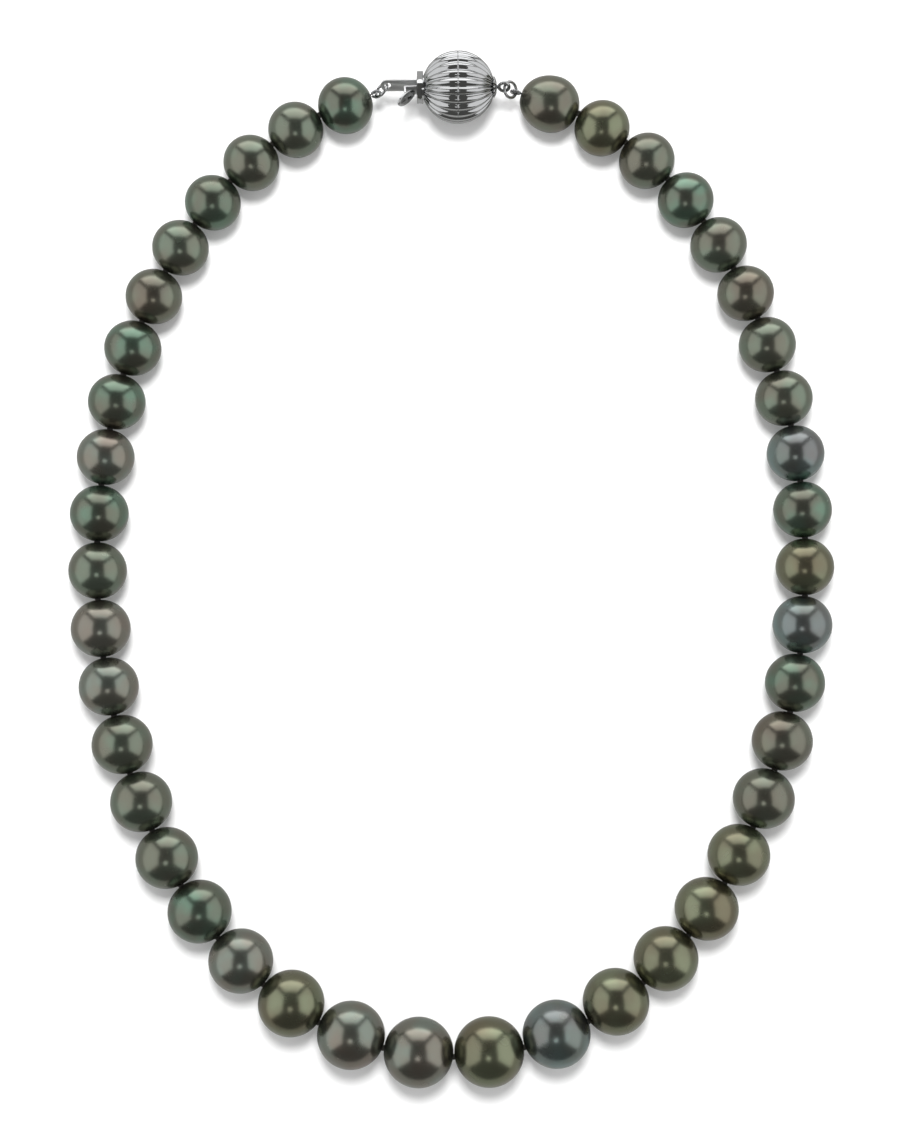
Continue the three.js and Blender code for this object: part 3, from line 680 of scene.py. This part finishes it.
bm = bmesh.new()
outer_edges = upright_rectangle(bm, plate_outer, plate_half)
inner_edges = upright_rectangle(bm, plate_outer, slot_half)
face = bmesh.ops.bridge_loops(bm, edges=outer_edges + inner_edges)["faces"]
extrude(bm, face, (plate_inner - plate_outer, 0, 0))
bmesh.ops.bevel(bm, geom=bm.edges[:], offset=plate_edge, segments=3, profile=0.5, affect="EDGES",
                material=-1)
# The neck: a short tube from the plate's back, just wider than the slot's corners.
at_back = Matrix.Translation((neck_start, 0, 0)) @ Matrix.Rotation(math.pi / 2, 4, "Y")
neck = bmesh.ops.create_circle(bm, cap_ends=False, segments=48, radius=neck_radius,
                               matrix=at_back)["verts"]
bore = bmesh.ops.create_circle(bm, cap_ends=False, segments=48, radius=neck_radius - neck_wall,
                               matrix=at_back)["verts"]
neck_edges = list({e for v in neck + bore for e in v.link_edges})
rim = bmesh.ops.bridge_loops(bm, edges=neck_edges)["faces"]
extrude(bm, rim, (neck_end - neck_start, 0, 0))
place_in_clasp(bm)
plate = as_object("slot_plate_and_neck", bm, white_gold)
plate.data.set_sharp_from_angle(angle=math.radians(35))
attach(plate, "ball")
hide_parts("slot_plate")

# ---------------------------------------------------------------------------------------------
# End cap and eye. A small cap with a scalloped edge covers the place where the flutes meet, and
# an eye on a post goes through it and is riveted over inside the ball.
# ---------------------------------------------------------------------------------------------
cap_radius = 1.8e-3
cap_hole = 0.4e-3
cap_lift = 0.08e-3
cap_crown = 6.38e-3
cap_rim_height = 0.16e-3
cap_rim_inset = 0.06e-3
petals = 12
petal_crease = 0.1e-3
petal_draw = 0.14  # share that the edge draws in between two petals
lines_per_petal = 10
eye_x = 7.56e-3
eye_outer = 1.1e-3
eye_wire = 0.29e-3
post_radius = 0.3e-3


def cap_seat(radius):
    """How far along the clasp's axis the cap's underside lies, at a radius from the axis."""
    return math.sqrt((ball_radius + cap_lift) ** 2 - radius**2)


outline = [(cap_seat(cap_hole), cap_hole)]
for k in range(1, 9):
    radius = cap_hole + (cap_radius - cap_hole) * k / 8
    outline.append((cap_seat(radius), radius))
outline.append((cap_seat(cap_radius) + 0.1e-3, cap_radius + 0.02e-3))
for k in range(8, -1, -1):
    share = k / 8
    radius = cap_hole + (cap_radius - cap_rim_inset - cap_hole) * share
    fall = cap_crown - cap_seat(cap_radius) - cap_rim_height
    outline.append((cap_crown - fall * share**2.2, radius))
bm = turned(outline, petals * lines_per_petal)
for vert in bm.verts:
    # Petals: the edge draws in between them, and a crease runs towards the post.
    from_axis = math.hypot(vert.co.y, vert.co.z)
    share = (from_axis - cap_hole) / (cap_radius - cap_hole)
    notch = (1 - abs(math.cos(math.atan2(vert.co.y, vert.co.z) * petals / 2))) * max(0.0, share)
    if vert.co.x > cap_seat(from_axis) + 0.05e-3:
        vert.co.x -= petal_crease * notch
    scale = 1 - petal_draw * notch * max(0.0, share) ** 2
    vert.co.y *= scale
    vert.co.z *= scale
place_in_clasp(bm)
cap = as_object("scalloped_end_cap", bm, white_gold)
cap.data.set_sharp_from_angle(angle=math.radians(50))
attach(cap, "ball")
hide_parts("end_cap")

bm = bmesh.new()
bmesh.ops.create_circle(bm, cap_ends=False, segments=14, radius=eye_wire,
                        matrix=Matrix.Translation((eye_outer - eye_wire, 0, 0))
                        @ Matrix.Rotation(math.pi / 2, 4, "X"))
bmesh.ops.spin(bm, geom=bm.verts[:] + bm.edges[:], cent=(0, 0, 0), axis=(0, 0, 1),
               angle=2 * math.pi, steps=56, use_merge=True)
bmesh.ops.recalc_face_normals(bm, faces=bm.faces)
bmesh.ops.translate(bm, verts=bm.verts, vec=(eye_x, 0, 0))
# The post, flared into the ring, with a hammered head inside the ball.
outline = [(4.45e-3, 0.0), (4.45e-3, 0.55e-3), (4.58e-3, 0.7e-3), (4.85e-3, 0.62e-3),
           (4.86e-3, post_radius), (eye_x - 1.1e-3, post_radius), (eye_x - 0.98e-3, 0.36e-3),
           (eye_x - 0.86e-3, 0.27e-3), (eye_x - 0.84e-3, 0.0)]
post = [bm.verts.new((x, 0, z)) for x, z in outline]
edges = [bm.edges.new((post[k], post[k + 1])) for k in range(len(post) - 1)]
bmesh.ops.spin(bm, geom=post + edges, cent=(0, 0, 0), axis=(1, 0, 0), angle=2 * math.pi,
               steps=28, use_merge=True)
bmesh.ops.remove_doubles(bm, verts=bm.verts, dist=1e-7)
bmesh.ops.recalc_face_normals(bm, faces=bm.faces)
place_in_clasp(bm)
eye_piece = as_object("clasp_eye_and_post", bm, white_gold)
eye_piece.data.set_sharp_from_angle(angle=math.radians(50))
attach(eye_piece, "ball")
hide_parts("ball_eye")

# ---------------------------------------------------------------------------------------------
# Tongue. One strip of hard white gold, round at the ring's end and drilled there, folded back on
# itself at the other end inside the ball.
# ---------------------------------------------------------------------------------------------
tongue_half = 1.15e-3
tongue_thick = 0.4e-3
tongue_z = -0.825e-3  # the strip's outer face
ring_hole_x = -11.57e-3
ring_hole_radius = 0.55e-3
fold_x = 0.83e-3
fold_gap = 0.35e-3
fold_rows = 16
leaf_thick = 0.3e-3
strip_edge = 0.06e-3


def cut_sheet(name, outlines, thickness, edge):
    """Sheet metal cut to closed outlines in X-Y, holes inside, with broken edges, at z = 0 up."""
    curve = bpy.data.curves.new(name, "CURVE")
    curve.dimensions = "2D"
    curve.fill_mode = "BOTH"
    curve.extrude = thickness / 2 - edge
    curve.bevel_depth = edge
    curve.bevel_resolution = 2
    curve.offset = -edge
    for outline in outlines:
        spline = curve.splines.new("POLY")
        spline.points.add(len(outline) - 1)
        for held, (x, y) in zip(spline.points, outline):
            held.co = (x, y, 0, 1)
        spline.use_cyclic_u = True
    laid = bpy.data.objects.new(name + "_outline", curve)
    bpy.context.scene.collection.objects.link(laid)
    mesh = bpy.data.meshes.new_from_object(laid)
    bpy.data.objects.remove(laid)
    bpy.data.curves.remove(curve)
    bm = bmesh.new()
    bm.from_mesh(mesh)
    bpy.data.meshes.remove(mesh)
    bmesh.ops.remove_doubles(bm, verts=bm.verts, dist=1e-6)
    bmesh.ops.recalc_face_normals(bm, faces=bm.faces)
    bmesh.ops.translate(bm, verts=bm.verts, vec=(0, 0, thickness / 2))
    return bm


# The strip is left satin, as rolled and stoned, because it slides in the slot.
satin_gold = bright_metal("satin_white_gold", "#e4e5e6", 0.38, 0.1, 0.25, 0.3)

strip = [(fold_x, -tongue_half), (fold_x, tongue_half)]
for k in range(25):
    angle = math.pi / 2 + math.pi * k / 24
    strip.append((ring_hole_x + math.cos(angle) * tongue_half, math.sin(angle) * tongue_half))
hole = [(ring_hole_x + math.cos(a) * ring_hole_radius, math.sin(a) * ring_hole_radius)
        for a in (2 * math.pi * k / 28 for k in range(28))]
bm = cut_sheet("tongue_strip", [strip, hole], tongue_thick, strip_edge)
bmesh.ops.translate(bm, verts=bm.verts, vec=(0, 0, tongue_z))

# The fold: a half turn of the strip, thinning to the leaf's thickness.
top = tongue_z + tongue_thick
outer_fold = (top + fold_gap + leaf_thick - tongue_z) / 2
outer_z = (top + fold_gap + leaf_thick + tongue_z) / 2
inner_z = top + fold_gap / 2
sides = []
for y in (-tongue_half, tongue_half):
    rows = []
    for k in range(fold_rows + 1):
        angle = -math.pi / 2 + math.pi * k / fold_rows
        rows.append((
            bm.verts.new((fold_x + outer_fold * math.cos(angle), y,
                          outer_z + outer_fold * math.sin(angle))),
            bm.verts.new((fold_x + fold_gap / 2 * math.cos(angle), y,
                          inner_z + fold_gap / 2 * math.sin(angle))),
        ))
    sides.append(rows)
left, right = sides
for k in range(fold_rows):
    bm.faces.new((left[k][0], left[k + 1][0], left[k + 1][1], left[k][1]))
    bm.faces.new((right[k][0], right[k][1], right[k + 1][1], right[k + 1][0]))
    bm.faces.new((left[k][0], right[k][0], right[k + 1][0], left[k + 1][0]))
    bm.faces.new((left[k][1], left[k + 1][1], right[k + 1][1], right[k][1]))
for k in (0, fold_rows):
    bm.faces.new((left[k][0], left[k][1], right[k][1], right[k][0]))
bmesh.ops.recalc_face_normals(bm, faces=bm.faces)
place_in_clasp(bm)
tongue = as_object("folded_tongue", bm, satin_gold)
tongue.data.set_sharp_from_angle(angle=math.radians(35))
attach(tongue, "tongue_bar")
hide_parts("tongue")

# ---------------------------------------------------------------------------------------------
# Spring leaf and thumb tab. The strip's other end is work-hardened so that it springs, with a
# shoulder that snaps out behind the slot plate. Its end turns up under an oval tab.
# ---------------------------------------------------------------------------------------------
leaf_half = 0.85e-3
leaf_root_x = fold_x - 0.08e-3
leaf_root_z = top + fold_gap
leaf_rise = 0.6e-3  # how far the leaf springs off the tongue by the plate's outer face
leaf_angle = math.atan2(leaf_rise, fold_x - plate_outer)
leaf_edge = 0.03e-3
catch_x = neck_end + 0.12e-3 - fold_x
catch_length = 1.2e-3
catch_height = 0.55e-3
riser_x = plate_outer - 2.1e-3 - fold_x
tab_half = (2.1e-3, 1.15e-3)
tab_thick = 0.4e-3
tab_edge = 0.14e-3
tab_border = 0.25e-3
dish_slope = 0.3e-3  # width of the ring that slopes down into the dish
dish_depth = 0.05e-3
tab_slope = math.radians(46)
tab_middle_z = leaf_thick + 0.25e-3 + math.sin(tab_slope) * tab_half[0]
riser_top = tab_middle_z - math.tan(tab_slope) * leaf_thick / 2 - 0.05e-3


def place_on_leaf(bm):
    """From the leaf's own frame, X along the leaf, to its place in the necklace."""
    bmesh.ops.rotate(bm, verts=bm.verts, matrix=Matrix.Rotation(leaf_angle, 3, "Y"))
    bmesh.ops.translate(bm, verts=bm.verts, vec=(leaf_root_x, 0, leaf_root_z))
    place_in_clasp(bm)


side_outline = [
    (0, 0), (0, leaf_thick), (catch_x + catch_length, leaf_thick),
    (catch_x, leaf_thick + catch_height), (catch_x, leaf_thick),
    (riser_x + leaf_thick * 1.5, leaf_thick), (riser_x + leaf_thick, leaf_thick * 1.5),
    (riser_x + leaf_thick, riser_top), (riser_x, riser_top),
    (riser_x, leaf_thick * 0.8), (riser_x + leaf_thick * 0.25, leaf_thick * 0.25),
    (riser_x + leaf_thick * 0.8, 0),
]
bm = cut_sheet("leaf_strip", [side_outline], leaf_half * 2, leaf_edge)
bmesh.ops.translate(bm, verts=bm.verts, vec=(0, 0, -leaf_half))
bmesh.ops.rotate(bm, verts=bm.verts, matrix=Matrix.Rotation(math.pi / 2, 3, "X"))
place_on_leaf(bm)
leaf = as_object("hard_spring_leaf", bm, satin_gold)
leaf.data.set_sharp_from_angle(angle=math.radians(35))
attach(leaf, "leaf")
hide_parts("spring_leaf")

bm = bmesh.new()
rim = bmesh.ops.create_circle(bm, cap_ends=True, segments=56, radius=1.0)["verts"]
bmesh.ops.scale(bm, verts=rim, vec=(tab_half[0], tab_half[1], 1))
extrude(bm, bm.faces[:], (0, 0, tab_thick))
rims = [e for e in bm.edges if abs(e.verts[0].co.z - e.verts[1].co.z) < 1e-9]
bmesh.ops.bevel(bm, geom=rims, offset=tab_edge, segments=4, profile=0.5, affect="EDGES",
                material=-1)
# The thumb's side is dished a little.
upper = [f for f in bm.faces if f.normal.z > 0.99 and f.calc_center_median().z > tab_thick / 2]
bmesh.ops.inset_region(bm, faces=upper, thickness=tab_border, depth=0)
upper = [f for f in bm.faces if f.normal.z > 0.99 and len(f.verts) > 20]
bmesh.ops.inset_region(bm, faces=upper, thickness=dish_slope, depth=-dish_depth)
bmesh.ops.rotate(bm, verts=bm.verts, matrix=Matrix.Rotation(tab_slope, 3, "Y"))
bmesh.ops.translate(bm, verts=bm.verts, vec=(riser_x + leaf_thick / 2, 0, tab_middle_z))
place_on_leaf(bm)
tab = as_object("oval_thumb_tab", bm, white_gold)
tab.data.set_sharp_from_angle(angle=math.radians(40))
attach(tab, "leaf")
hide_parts("thumb_tab")
